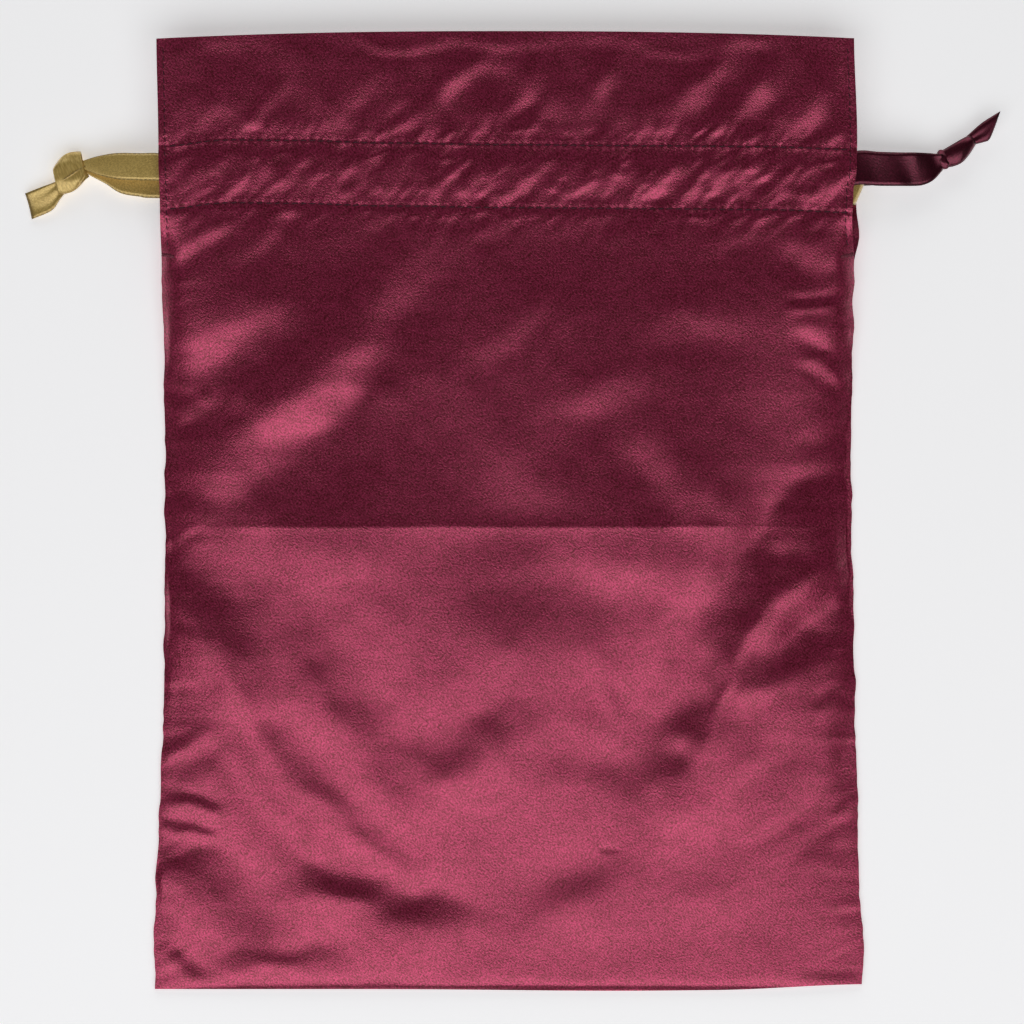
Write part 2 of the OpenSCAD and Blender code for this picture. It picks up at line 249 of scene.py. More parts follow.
def rowPuckers():
    # Leaning folds inside the casing and on both sides of its rows, in bands of their own reach
    rng = np.random.RandomState(19)
    bands = [  # row, middle off the row, spread, reach, width, lean, tilt, spacing
        ("lowerRow", 8.5, 4.0, 5.5, 3.0, 55, 0.13, 4.0),
        ("lowerRow", 3.4, 1.4, 3.0, 1.9, 50, 0.15, 3.6),
        ("upperRow", -3.4, 1.4, 2.8, 1.9, 52, 0.12, 3.8),
        ("upperRow", 3.0, 1.2, 2.6, 1.8, 52, 0.17, 3.4),
        ("upperRow", 8.0, 3.5, 6.0, 3.2, 58, 0.08, 6.5),
        ("lowerRow", -3.0, 1.2, 2.6, 1.8, 44, 0.14, 3.8),
        ("lowerRow", -8.0, 2.5, 5.0, 3.0, 42, 0.05, 8.0),
        ("lowerRow", 9.0, 6.0, 1.8, 1.4, 40, 0.14, 2.6),
    ]
    found = []
    for row, off, scatter, reach, width, lean, tilt, spacing in bands:
        x = -place["halfWidth"] + 2
        while x < place["halfWidth"] - 2:
            power = tilt * rng.uniform(0.2, 1.35) * float(curveThrough(casingPower, x))
            y = float(rowY(x, row)) + off + rng.uniform(-scatter, scatter)
            size = reach * rng.uniform(0.6, 1.5), width * rng.uniform(0.6, 1.3)
            found.append((x, y, *size, lean + rng.uniform(-18, 18), power))
            x += spacing * rng.uniform(0.5, 1.5)
    return found


front = {
    "seam": 0.85,  # height of the seams off the table
    "lowest": 0.75,
    "lift": 3.0,  # how far the sides rise towards the slits
    "ridge": 2.2,  # the crease stands this far above the casing
    "climb": 1.27,  # above 1, the ramp up to the crease steepens
    "fall": 76,  # length of the fall from the crease to the casing
    "roll": 19,  # how far in the cloth takes to rise from a side seam
    "tighten": 11,  # and how much less at the slits
}


# The cloth sags in the middle and at the right along the crease, and one thread is pulled
saddle = {"x": -2, "wide": 21, "depth": 2.3, "rightDepth": 1.2}
snag = {"x": 29, "y": -96.7, "half": 3.6, "depth": 0.2}


def insetFrom(x, y):
    # Distance in from the nearer side edge
    return np.minimum(x - edgeX(y, -1), edgeX(y, 1) - x)


def edgeLift(x, y):
    # Towards the slits the ribbons draw the side seams up off the table
    return front["lift"] * ease((y - 20) / 54) * np.exp(-(np.maximum(insetFrom(x, y), 0) / 13) ** 2)


def frontBase(x, y):
    # Seams low, a long ramp up to the packing crease, a slow fall to the level casing
    seam, top, ridge = front["seam"], place["frontTop"], front["ridge"]
    low = np.maximum(y - place["bottom"], 0)
    rise = 0.13 * (1 - np.exp(-low / 1.1))
    rise = rise + (1 - rise) * np.clip(low / (place["crease"] - place["bottom"]), 0, 1) ** front["climb"]
    fall = ridge * (1 - np.clip((y - place["crease"]) / front["fall"], 0, 1)) ** 1.25
    middle = np.where(y > place["crease"], top + fall, seam + (top + ridge - seam) * rise)
    roll = front["roll"] - front["tighten"] * ease((y - 5) / 68)
    left = 1 - np.exp(-np.maximum(x - edgeX(y, -1), 0) / roll)
    right = 1 - np.exp(-np.maximum(edgeX(y, 1) - x, 0) / roll)
    opening = ease((y - place["slit"] + 5) / 18)
    across = left * right
    return seam + edgeLift(x, y) * (1 - opening) + (middle - seam) * (across + (1 - across) * opening)


seamFolds, rowFolds = seamPuckers(), rowPuckers()


def frontRelief(x, y):
    # The base plus every swell, fold and pucker, and the grooves that the stitches press in
    z = frontBase(x, y)
    inside = ease((x - edgeX(y, -1)) / 5) * ease((edgeX(y, 1) - x) / 5) * ease((y - bottomY(x)) / 5)
    inside = inside * ease((mouthY(x) - y) / 6)
    body = ease((place["lowerRow"] - 1 - y) / 10)
    inward = ease((x - edgeX(y, -1)) / 2) * ease((edgeX(y, 1) - x) / 2)
    # The folds are read from places that wander, so they run unevenly
    wx = x + 3.2 * latticeNoise(x, y, 17, 81) + 1.1 * latticeNoise(x, y, 7, 82)
    wy = y + 3.2 * latticeNoise(x, y, 17, 83) + 1.1 * latticeNoise(x, y, 7, 84)
    for item in swells:
        z = z + swell(wx, wy, item) * inside
    for item in folds:
        z = z + bowedFold(wx, wy, item) * inward
    for item in seamFolds:
        z = z + swell(x, y, item) * ease((place["slit"] + 4 - y) / 8)
    # Each row lies in a shallow hollow, in a groove with the pitch of its stitches
    pinch = np.zeros_like(z)
    for row in ("upperRow", "lowerRow"):
        d = y - rowY(x, row)
        pinch = pinch + np.exp(-(d / 0.8) ** 2) * (0.12 + 0.08 * np.cos(2 * math.pi * x / sewing["pitch"]))
        pinch = pinch + 0.08 * np.exp(-(d / 3.2) ** 2)
    for item in rowFolds:
        z = z + swell(x, y, item)
    # The casing waves a little and stands up over the ribbons
    casing = ease((y - rowY(x, "lowerRow")) / 5) * ease((rowY(x, "upperRow") - y) / 5)
    z = z + casing * (0.12 * latticeNoise(x + y * 0.5, y * 0.8, 6, 5)) - pinch
    z = z + 0.55 * ease((y - rowY(x, "lowerRow")) / 12) * (1 - ease((y - rowY(x, "upperRow") + 5) / 6))
    # The crease is a thin ridge that wanders and fades before the sides
    crease = ease((x + 82) / 12) * (1 - ease((x - 58) / 14)) * body
    dip = ease((y + 42) / 34) * (1 - ease((y + 8) / 75))
    sag = saddle["depth"] * np.exp(-((x - saddle["x"]) / saddle["wide"]) ** 2)
    z = z - dip * (sag + saddle["rightDepth"] * ease((x - 58) / 22))
    off = y - place["crease"] - 0.35 * latticeNoise(x, y * 0, 18, 3)
    z = z + crease * 0.2 * np.exp(-np.abs(off) / 3.5)
    z = z + body * inside * (0.34 * latticeNoise(x, y, 19, 11) + 0.07 * latticeNoise(x, y, 8, 12))
    # Above the casing the mouth waves more and rises towards its edge
    header = ease((y - rowY(x, "upperRow")) / 8)
    z = z + header * inside * (0.4 * latticeNoise(x * 1.1 + y * 0.5, y * 0.8, 12, 15))
    z = z + 0.035 * np.maximum(y - rowY(x, "upperRow"), 0)
    # The stitches of the slit hems press in a groove of their own
    groove = np.exp(-((insetFrom(x, y) - hem["stitch"]) / 0.7) ** 2)
    groove = groove * (0.11 + 0.05 * np.cos(2 * math.pi * y / fineStitch["pitch"]))
    z = z - groove * ease((y - place["slit"]) / 6)
    pulled = np.exp(-((y - snag["y"]) / 0.8) ** 2) * ease((snag["half"] - np.abs(x - snag["x"])) / 1.6)
    z = z - snag["depth"] * pulled
    return np.maximum(z, front["lowest"])


def gridLines(stretches):
    # Lines over each (start, end, step) stretch, joined without doubles
    lines = [np.linspace(a, b, max(2, int(round(abs(b - a) / step)) + 1))[:-1] for a, b, step in stretches]
    return np.append(np.concatenate(lines), stretches[-1][1])


def addPiece(name, vertices, faces, uvs=None, normals=None):
    # A mesh object in place, with its map in millimetres and its own normals where given
    mesh = bpy.data.meshes.new(name)
    mesh.from_pydata(np.asarray(vertices, float).tolist(), [], faces)
    mesh.polygons.foreach_set("use_smooth", np.full(len(mesh.polygons), True))
    if uvs is not None:
        layer = mesh.uv_layers.new(name="clothMap")
        corner = np.zeros(len(mesh.loops), int)
        mesh.loops.foreach_get("vertex_index", corner)
        layer.data.foreach_set("uv", np.asarray(uvs, float)[corner].ravel())
    mesh.validate()
    if normals is not None:
        mesh.normals_split_custom_set_from_vertices(np.asarray(normals, float).tolist())
    piece = bpy.data.objects.new(name, mesh)
    bpy.context.scene.collection.objects.link(piece)
    return piece


def gridFaces(nx, ny, first=0, flip=False):
    # Quads between neighbouring points of a grid, row by row
    i, j = np.meshgrid(np.arange(nx - 1), np.arange(ny - 1))
    a = (first + j * nx + i).ravel()
    quads = np.stack([a, a + 1, a + nx + 1, a + nx], axis=1)
    return (quads[:, ::-1] if flip else quads).tolist()


def surfaceNormals(grid):
    # Cross product of the differences along the two grid directions, made unit length
    du = np.gradient(grid, axis=1)
    dv = np.gradient(grid, axis=0)
    n = np.cross(du, dv)
    return n / np.linalg.norm(n, axis=2, keepdims=True)


def rim(ny, nx, offset):
    # Walls between the two skins, all the way round
    at = np.arange(ny * nx).reshape(ny, nx)
    loop = np.concatenate([at[0, :-1], at[:-1, -1], at[-1, :0:-1], at[:0:-1, 0]])
    after = np.roll(loop, -1)
    return np.stack([after, loop, loop + offset, after + offset], axis=1).tolist()


def clothShell(name, grid, depth, normals):
    # Two skins over the same grid, depth apart along the normals, walled round the rim
    ny, nx = grid.shape[:2]
    under = grid - normals * depth
    points = np.concatenate([grid.reshape(-1, 3), under.reshape(-1, 3)]) * mm
    faces = gridFaces(nx, ny) + gridFaces(nx, ny, nx * ny, True) + rim(ny, nx, nx * ny)
    flat = grid[:, :, :2].reshape(-1, 2)
    both = np.concatenate([normals.reshape(-1, 3), -normals.reshape(-1, 3)])
    return addPiece(name, points, faces, np.concatenate([flat, flat]), both)


def halves(name, grid, depth, middle):
    # The cloth as a left and a right half that share their middle line and its normals
    normals = surfaceNormals(grid)
    left = clothShell(name + "Left", grid[:, :middle + 1], depth, normals[:, :middle + 1])
    right = clothShell(name + "Right", grid[:, middle:], depth, normals[:, middle:])
    return left, right


def gather(piece):
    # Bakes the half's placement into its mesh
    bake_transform(piece)


def dress(piece, material):
    # One material on the piece
    piece.data.materials.append(material)


def link(tree, source, target):
    tree.links.new(source, target)


def newGroup(name, inputs, outputs):
    # A shader node group with its sockets, and the nodes where they start and end
    group = bpy.data.node_groups.new(name, "ShaderNodeTree")
    for label, kind, value in inputs:
        socket = group.interface.new_socket(name=label, in_out="INPUT", socket_type=kind)
        if value is not None:
            socket.default_value = value
    for label, kind in outputs:
        group.interface.new_socket(name=label, in_out="OUTPUT", socket_type=kind)
    return group, group.nodes.new("NodeGroupInput"), group.nodes.new("NodeGroupOutput")


def mathNode(tree, kind, a, b):
    # One operation on two terms, each a number or another node's output
    node = tree.nodes.new("ShaderNodeMath")
    node.operation = kind
    for k, value in enumerate((a, b)):
        if isinstance(value, (int, float)):
            node.inputs[k].default_value = value
        else:
            link(tree, value, node.inputs[k])
    return node.outputs[0]


def stretched(tree, vector, size, turn=0.0):
    # Coordinates in which one unit is size long and wide, turned by turn degrees
    node = tree.nodes.new("ShaderNodeMapping")
    node.vector_type = "TEXTURE"
    link(tree, vector, node.inputs["Vector"])
    node.inputs["Scale"].default_value = (*size, 1)
    node.inputs["Rotation"].default_value[2] = math.radians(turn)
    return node.outputs[0]


def noise(tree, vector, scale, detail=2.0, rough=0.5):
    node = tree.nodes.new("ShaderNodeTexNoise")
    link(tree, vector, node.inputs["Vector"])
    node.inputs["Scale"].default_value = scale
    node.inputs["Detail"].default_value = detail
    node.inputs["Roughness"].default_value = rough
    return node.outputs[0]


def blended(tree, parts):
    # Sum of value times share
    total = 0.0
    for value, share in parts:
        total = mathNode(tree, "ADD", total, mathNode(tree, "MULTIPLY", value, share))
    return total


def makeSatinGrain():
    # Flecks of thread lying aslant and across, slubs along the weft and soft patches, sized in millimetres
    group, start, end = newGroup(
        "satinGrain",
        [("Vector", "NodeSocketVector", None)],
        [("Height", "NodeSocketFloat"), ("Tone", "NodeSocketFloat"), ("Slub", "NodeSocketFloat")],
    )
    at = start.outputs["Vector"]
    fleck = noise(group, stretched(group, at, (0.72, 0.4), -40), 1.0, 1.0, 0.6)
    cross = noise(group, stretched(group, at, (0.42, 0.6), -40), 1.0, 1.0, 0.5)
    slub = noise(group, stretched(group, at, (20, 1.6)), 1.0, 2.0, 0.5)
    patch = noise(group, stretched(group, at, (4, 3)), 1.0, 2.0, 0.5)
    tone = blended(group, [(fleck, 0.51), (cross, 0.34), (patch, 0.15)])
    link(group, tone, end.inputs["Tone"])
    link(group, blended(group, [(fleck, 1.0), (cross, 0.6)]), end.inputs["Height"])
    link(group, slub, end.inputs["Slub"])
    return group


satinGrain = makeSatinGrain()


def colorRamp(tree, factor, stops):
    # Colour at each stop of the factor, blended between
    ramp = tree.nodes.new("ShaderNodeValToRGB")
    link(tree, factor, ramp.inputs["Fac"])
    while len(ramp.color_ramp.elements) < len(stops):
        ramp.color_ramp.elements.new(0.5)
    for element, (at, color) in zip(ramp.color_ramp.elements, stops):
        element.position = at
        element.color = (*color, 1)
    return ramp.outputs["Color"]


# Selvedge ticks darken a ribbon's border one pitch apart; a steady share under the ticks darkens the whole
# border as painted shade, standing in for the shade along a ribbon's edge
selvedgeAndEdgeShade = {"middle": 5.0, "inside": 4.4, "pitch": 1.3, "tick": 0.6, "paintedEdgeShade": 0.4, "cutEnd": 1.6}


def edgeMask(tree, uv):
    # Ribbon border: selvedge ticks one pitch apart outside the plain part, painted shade along the whole
    # border between them, and the whole of a cut end
    split = tree.nodes.new("ShaderNodeSeparateXYZ")
    link(tree, uv, split.inputs["Vector"])
    off = mathNode(tree, "SUBTRACT", split.outputs["X"], selvedgeAndEdgeShade["middle"])
    border = mathNode(tree, "GREATER_THAN", mathNode(tree, "ABSOLUTE", off, 0.0), selvedgeAndEdgeShade["inside"])
    phase = mathNode(tree, "MULTIPLY", split.outputs["Y"], 2 * math.pi / selvedgeAndEdgeShade["pitch"])
    tick = mathNode(tree, "GREATER_THAN", mathNode(tree, "SINE", phase, 0.0), -0.1)
    # Under the ticks the whole border gets a steady share of painted shade
    tick = blended(tree, [(tick, selvedgeAndEdgeShade["tick"]), (1.0, selvedgeAndEdgeShade["paintedEdgeShade"])])
    tick = mathNode(tree, "MULTIPLY", tick, border)
    cut = tree.nodes.new("ShaderNodeAttribute")
    cut.attribute_name = "cutEnd"
    cutEnd = mathNode(tree, "MULTIPLY", cut.outputs["Fac"], selvedgeAndEdgeShade["cutEnd"])
    return mathNode(tree, "MAXIMUM", tick, cutEnd)


def darkened(tree, color, mask, share):
    # The colour pulled towards a deep brown where the mask is high: selvedge ticks, cut ends, and painted
    # shade along the ribbon's edges
    mix = tree.nodes.new("ShaderNodeMix")
    mix.data_type = "RGBA"
    mix.blend_type = "MULTIPLY"
    # The colour sockets of a mix share their names with others, so they are taken by number
    link(tree, mathNode(tree, "MULTIPLY", mask, share), mix.inputs[0])
    link(tree, color, mix.inputs[6])
    mix.inputs[7].default_value = (0.12, 0.07, 0.06, 1)
    return mix.outputs[2]


threadHeight = 0.00009  # metres, from the bottom of the grain to its top


def satin(name, look):
    # Metallic thread colour under a clear coat, both stretched along the weave
    material = bpy.data.materials.new(name)
    material.use_nodes = True
    tree = material.node_tree
    shader = tree.nodes["Principled BSDF"]
    uv = tree.nodes.new("ShaderNodeUVMap")
    uv.uv_map = "clothMap"
    grain = tree.nodes.new("ShaderNodeGroup")
    grain.node_tree = satinGrain
    link(tree, uv.outputs["UV"], grain.inputs["Vector"])
    dark, light = look["dark"], look["light"]
    color = colorRamp(tree, grain.outputs["Tone"], [(0.40, dark), (0.60, light)])
    # The ribbons' edges get selvedge ticks plus painted shade along their whole border
    if "selvedgeAndEdgeShade" in look:
        color = darkened(tree, color, edgeMask(tree, uv.outputs["UV"]), look["selvedgeAndEdgeShade"])
    link(tree, color, shader.inputs["Base Color"])
    rough = tree.nodes.new("ShaderNodeMapRange")
    link(tree, grain.outputs["Slub"], rough.inputs["Value"])
    rough.inputs["To Min"].default_value = look["rough"] - 0.04
    rough.inputs["To Max"].default_value = look["rough"] + 0.05
    link(tree, rough.outputs["Result"], shader.inputs["Roughness"])
    shader.inputs["Metallic"].default_value = look["metal"]
    shader.inputs["Anisotropic"].default_value = look["stretch"]
    shader.inputs["Sheen Weight"].default_value = look["sheen"]
    shader.inputs["Sheen Roughness"].default_value = 0.4
    shader.inputs["Coat Weight"].default_value = look["coat"]
    shader.inputs["Coat Roughness"].default_value = look["rough"]
    tangent = tree.nodes.new("ShaderNodeTangent")
    tangent.direction_type = "UV_MAP"
    tangent.uv_map = "clothMap"
    link(tree, tangent.outputs["Tangent"], shader.inputs["Tangent"])
    bump = tree.nodes.new("ShaderNodeBump")
    bump.inputs["Strength"].default_value = look["bump"]
    bump.inputs["Distance"].default_value = threadHeight
    link(tree, grain.outputs["Height"], bump.inputs["Height"])
    link(tree, bump.outputs["Normal"], shader.inputs["Normal"])
    link(tree, bump.outputs["Normal"], shader.inputs["Coat Normal"])
    return material


looks = {
    "satin": {"dark": (0.22, 0.003, 0.020), "light": (0.68, 0.042, 0.155), "rough": 0.33, "metal": 0.68,
              "stretch": 0.35, "sheen": 0.05, "bump": 0.8, "coat": 1.0},
    "inside": {"dark": (0.15, 0.006, 0.024), "light": (0.25, 0.018, 0.050), "rough": 0.6, "metal": 0.1,
               "stretch": 0.0, "sheen": 0.2, "bump": 0.5, "coat": 0.0},
    "gold": {"dark": (0.64, 0.42, 0.10), "light": (0.90, 0.65, 0.20), "rough": 0.32, "metal": 0.38,
             "stretch": 0.4, "sheen": 0.05, "bump": 0.4, "coat": 0.8, "selvedgeAndEdgeShade": 0.45},
    "burgundy": {"dark": (0.085, 0.003, 0.014), "light": (0.20, 0.010, 0.042), "rough": 0.31, "metal": 0.85,
                 "stretch": 0.4, "sheen": 0.05, "bump": 0.4, "coat": 0.7, "selvedgeAndEdgeShade": 0.5},
    "tack": {"dark": (0.10, 0.004, 0.016), "light": (0.30, 0.018, 0.06), "rough": 0.5, "metal": 0.2,
             "stretch": 0.0, "sheen": 0.1, "bump": 0.6, "coat": 0.2},
    "thread": {"dark": (0.030, 0.003, 0.008), "light": (0.11, 0.012, 0.028), "rough": 0.6, "metal": 0.0,
               "stretch": 0.0, "sheen": 0.0, "bump": 0.6, "coat": 0.0},
}
materials = {name: satin(name, look) for name, look in looks.items()}
print("materials made")


fine = gridLines([(-1, -0.94, 0.0048), (-0.94, 0, 0.0094), (0, 0.94, 0.0094), (0.94, 1, 0.0048)])
middle = int(np.argmin(np.abs(fine)))
upper, lower = place["upperRow"], place["lowerRow"]
rises = gridLines([
    (-138, -134, 0.5), (-134, place["crease"] - 4, 0.95),
    (place["crease"] - 4, place["crease"] + 4, 0.5), (place["crease"] + 4, lower - 4, 0.95),
    (lower - 4, lower + 4, 0.42), (lower + 4, upper - 4, 0.7), (upper - 4, upper + 4, 0.42),
    (upper + 4, 136, 0.8),
])


def spread(shares, heights, back=False):
    # Grid of x, y over the outline: shares run across, heights run up between the two end edges
    y = np.repeat(heights[:, None], len(shares), axis=1)
    half = np.where(shares < 0, -edgeX(y, -1), edgeX(y, 1, back))
    x = shares[None, :] * half
    y = y + (bottomY(x) + 138) * (1 - ease((y + 138) / 12)) + (mouthY(x) - 136) * ease((y - 112) / 24)
    return x, y


facingReach = 0.972  # a facing's share of the sack's width
gridX, gridY = spread(fine, rises)
frontGrid = np.stack([gridX, gridY, frontRelief(gridX, gridY)], axis=2)
frontLeft, frontRight = halves("frontPanel", frontGrid, cloth["panel"], middle)
for piece, hand in ((frontLeft, "left"), (frontRight, "right")):
    dress(piece, materials["satin"])
    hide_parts("front_panel")
    gather(piece)
print("front panel made", frontGrid.shape, float(frontGrid[:, :, 2].max()))


plain = gridLines([(-1, -0.94, 0.012), (-0.94, 0.94, 0.018), (0.94, 1, 0.012)])
plainMiddle = int(np.argmin(np.abs(plain)))


back = {"rest": 0.36, "swell": 0.2}


def backRelief(x, y):
    # Nearly flat on the table: a low swell inside the seams, less along the rows, and the lifted sides
    inside = ease((x - edgeX(y, -1)) / 9) * ease((edgeX(y, 1) - x) / 9) * ease((y - bottomY(x)) / 9)
    wave = latticeNoise(x, y, 23, 61) + 0.4 * latticeNoise(x, y, 9, 62)
    pinch = sum(np.exp(-((y - rowY(x, row)) / 0.9) ** 2) for row in ("upperRow", "lowerRow"))
    lift = edgeLift(x, y) * (1 - ease((y - place["slit"]) / 14))
    return back["rest"] + lift + inside * np.clip(back["swell"] * (1 + wave), 0, 0.6) * (1 - 0.7 * pinch)


def tunnel(x, y):
    # How far a facing stands off its panel: only between the two rows, which pin it down
    return ease((y - rowY(x, "lowerRow") - 0.3) / 1.2) * ease((rowY(x, "upperRow") - 0.3 - y) / 1.2)


backY = gridLines([
    (-138, -130, 1.2), (-130, lower - 4, 2.2), (lower - 4, upper + 4, 0.8), (upper + 4, 136, 1.8),
])
backX, backLine = spread(plain, backY, True)
backGrid = np.stack([backX, backLine, backRelief(backX, backLine)], axis=2)
for piece, hand in zip(halves("backPanel", backGrid, cloth["panel"], plainMiddle), ("left", "right")):
    dress(piece, materials["satin"])
    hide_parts("back_panel")
    gather(piece)

facingY = gridLines([
    (lower - 5, lower + 4, 0.5), (lower + 4, upper - 4, 0.9), (upper - 4, upper + 4, 0.5),
    (upper + 4, 135.2, 1.2),
])
facingX, facingLine = spread(plain * facingReach, facingY)
room = tunnel(facingX, facingLine)
underFront = frontRelief(facingX, facingLine) - cloth["panel"] - standOff["facingUnderFront"]
overBack = backRelief(facingX, facingLine) + standOff["facingOverBack"]
frontSide = underFront * (1 - room) + place["frontFacing"] * room
backSide = overBack * (1 - room) + place["backFacing"] * room
for name, node, height in (
    ("frontFacing", "front_facing", frontSide),
    ("backFacing", "back_facing", backSide),
):
    sheetGrid = np.stack([facingX, facingLine, height], axis=2)
    for piece, hand in zip(halves(name, sheetGrid, cloth["facing"], plainMiddle), ("left", "right")):
        dress(piece, materials["inside"])
        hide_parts(node)
        gather(piece)


def strip(name, outer, inner, height):
    # A narrow turned-in band between two lines of x, y, following a height function
    shares = np.linspace(0, 1, 4)[None, :, None]
    line = outer[:, None, :] * (1 - shares) + inner[:, None, :] * shares
    grid = np.concatenate([line, height(line[..., 0], line[..., 1])[..., None]], axis=2)
    if np.cross(grid[0, 1] - grid[0, 0], grid[1, 0] - grid[0, 0])[2] < 0:
        grid = grid[:, ::-1]
    return clothShell(name, grid, cloth["turnedIn"], surfaceNormals(grid))


def besideEdge(hand, heights, inset):
    # Line of x, y that keeps a distance in from a side edge
    sign = signOf[hand]
    return np.stack([edgeX(heights, sign) - sign * inset, heights], axis=1)


# Distances in from the seam, how far the cut edge zigzags, and the step between its points
allowance = {"outer": 2.0, "inner": 9.0, "pinking": 0.35, "step": 2.0}


def allowanceHeight(x, y):
    # Lies on the back panel, and under the front panel where that comes down to the seam
    onBack = backRelief(x, y) + standOff["allowanceOverBack"] + 0.05 * latticeNoise(x, y, 5, 71)
    underFront = frontRelief(x, y) - cloth["panel"] - standOff["allowanceUnderFront"]
    return np.minimum(onBack, underFront)


def pinked(count):
    # Every second point of a cut edge stands out a little
    return allowance["pinking"] * (np.arange(count) % 2)


for hand in ("left", "right"):
    heights = np.arange(place["bottom"] + 14, place["slit"], allowance["step"])
    outer = besideEdge(hand, heights, allowance["outer"])
    inner = besideEdge(hand, heights, allowance["inner"] + pinked(len(heights)))
    piece = strip(hand + "SeamAllowance", outer, inner, allowanceHeight)
    dress(piece, materials["inside"])
    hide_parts(hand + "_seam_allowance")
    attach(piece, sides[hand])
along = np.arange(-85, 85.1, allowance["step"])
bottomOuter = np.stack([along, np.full(len(along), place["bottom"] + allowance["outer"])], axis=1)
reach = allowance["inner"] - allowance["outer"] + pinked(len(along))
bottomInner = np.stack([along, bottomOuter[:, 1] + reach], axis=1)
piece = strip("bottomSeamAllowance", bottomOuter, bottomInner, allowanceHeight)
dress(piece, materials["inside"])
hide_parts("bottom_seam_allowance")
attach(piece, "sack")
print("back, facings and allowances made")


def stitches(name, path, height, look):
    # Each stitch is a thread tube that comes up out of the cloth and dives back in at its ends
    travel = np.concatenate([[0], np.cumsum(np.linalg.norm(np.diff(path, axis=0), axis=1))])
    number = int((travel[-1] - look["length"]) / look["pitch"]) + 1
    rings, count = look["rings"], look["sides"]
    rng = np.random.RandomState(len(name))
    t = np.linspace(0, 1, rings)
    starts = np.arange(number) * look["pitch"] + rng.uniform(-0.06, 0.06, number)
    at = starts[:, None] + t * look["length"]
    x, y = np.interp(at, travel, path[:, 0]), np.interp(at, travel, path[:, 1])
    ahead = np.stack([np.gradient(x, axis=1), np.gradient(y, axis=1)], axis=2)
    ahead = ahead / np.linalg.norm(ahead, axis=2, keepdims=True)
    slant = (t - 0.5) * look["slant"] + rng.uniform(-0.03, 0.03, number)[:, None]
    x, y = x - ahead[..., 1] * slant, y + ahead[..., 0] * slant
    z = height(x, y) + look["radius"] * (1.2 * np.sqrt(np.clip(np.sin(math.pi * t), 0, 1)) - 0.75)
    around = 2 * math.pi * np.arange(count) / count
    thick = (look["radius"] * (0.75 + 0.25 * np.sin(math.pi * t)))[:, None]
    points = np.stack([x[..., None] - ahead[..., 1:] * thick * np.cos(around),
                       y[..., None] + ahead[..., :1] * thick * np.cos(around),
                       z[..., None] + thick * 0.8 * np.sin(around)], axis=3)
    uvs = np.stack(np.broadcast_arrays(around * 0.3, at[..., None]), axis=3)
    ring, turn = np.meshgrid(np.arange(rings - 1), np.arange(count), indexing="ij")
    a, b = ring * count + turn, ring * count + (turn + 1) % count
    tube = np.stack([a, a + count, b + count, b], axis=2).reshape(-1, 4)
    first = (np.arange(number) * rings * count)[:, None, None]
    caps = np.array([np.arange(count), (rings - 1) * count + np.arange(count)[::-1]])
    faces = (first + tube).reshape(-1, 4).tolist()
    faces += (first + caps).reshape(-1, count).tolist()
    piece = addPiece(name, points.reshape(-1, 3) * mm, faces, uvs.reshape(-1, 2))
    dress(piece, materials["tack" if look["pitch"] < 1.5 else "thread"])
    return piece


# Heights that the threads and the hems follow
def rowOnBack(x, y):
    return backRelief(x, y) + standOff["rowThread"]


def slitOnBack(x, y):
    return backRelief(x, y) + standOff["slitThread"]


def inSeam(x, y):
    return backRelief(x, y) + standOff["seamThread"]


def onTack(x, y):
    return frontRelief(x, y) + standOff["tackThread"]


def frontHem(x, y):
    return frontRelief(x, y) - cloth["panel"] - standOff["hemUnderFront"]


def backHem(x, y):
    return backRelief(x, y) + standOff["hemOverBack"]


rowEnds = (0.1, 98.6)  # a row's half starts by the middle and stops short of the side
hemTop = 134.5
seamInset = 1.1
for row, node in (("upperRow", "upper_stitching"), ("lowerRow", "lower_stitching")):
    for hand in ("left", "right"):
        sign = signOf[hand]
        x = np.linspace(sign * rowEnds[0], sign * rowEnds[1], 200)
        path = np.stack([x, rowY(x, row)], axis=1)
        for layer, height in (("front", frontRelief), ("back", rowOnBack)):
            shrink = np.array([1.0 if layer == "front" else 0.97, 1.0])
            name = f"{layer}{row[:5].title()}Stitches{hand.title()}"
            piece = stitches(name, path * shrink, height, sewing)
            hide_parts(f"{layer}_{node}")
            gather(piece)

for hand in ("left", "right"):
    heights = np.arange(place["slit"] + 2, hemTop, 0.5)
    path = besideEdge(hand, heights, hem["stitch"])
    for layer, height in (("front", frontRelief), ("back", slitOnBack)):
        piece = stitches(f"{layer}{hand.title()}SlitStitches", path, height, fineStitch)
        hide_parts(f"{layer}_{hand}_slit_stitching")
        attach(piece, sides[hand])
    hemY = np.arange(place["slit"] + 8.5, hemTop, 1.2)
    outer, inner = besideEdge(hand, hemY, hem["outer"]), besideEdge(hand, hemY, hem["inner"])
    for layer, height in (("front", frontHem), ("back", backHem)):
        piece = strip(f"{layer}{hand.title()}SlitHem", outer, inner, height)
        dress(piece, materials["inside"])
        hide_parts(f"{layer}_{hand}_slit_hem")
        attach(piece, sides[hand])
    seamY = np.arange(place["bottom"] + 4, place["slit"], 0.7)
    piece = stitches(hand + "SeamStitches", besideEdge(hand, seamY, seamInset), inSeam, hiddenStitch)
    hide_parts(hand + "_seam_thread")
    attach(piece, sides[hand])
seamX = np.linspace(-98, 98, 240)
seamPath = np.stack([seamX, bottomY(seamX) + seamInset], axis=1)
piece = stitches("bottomSeamStitches", seamPath, inSeam, hiddenStitch)
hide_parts("bottom_seam_thread")
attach(piece, "sack")


tack = {"turns": 15, "spacing": 0.27, "half": 0.55, "drop": 0.06}


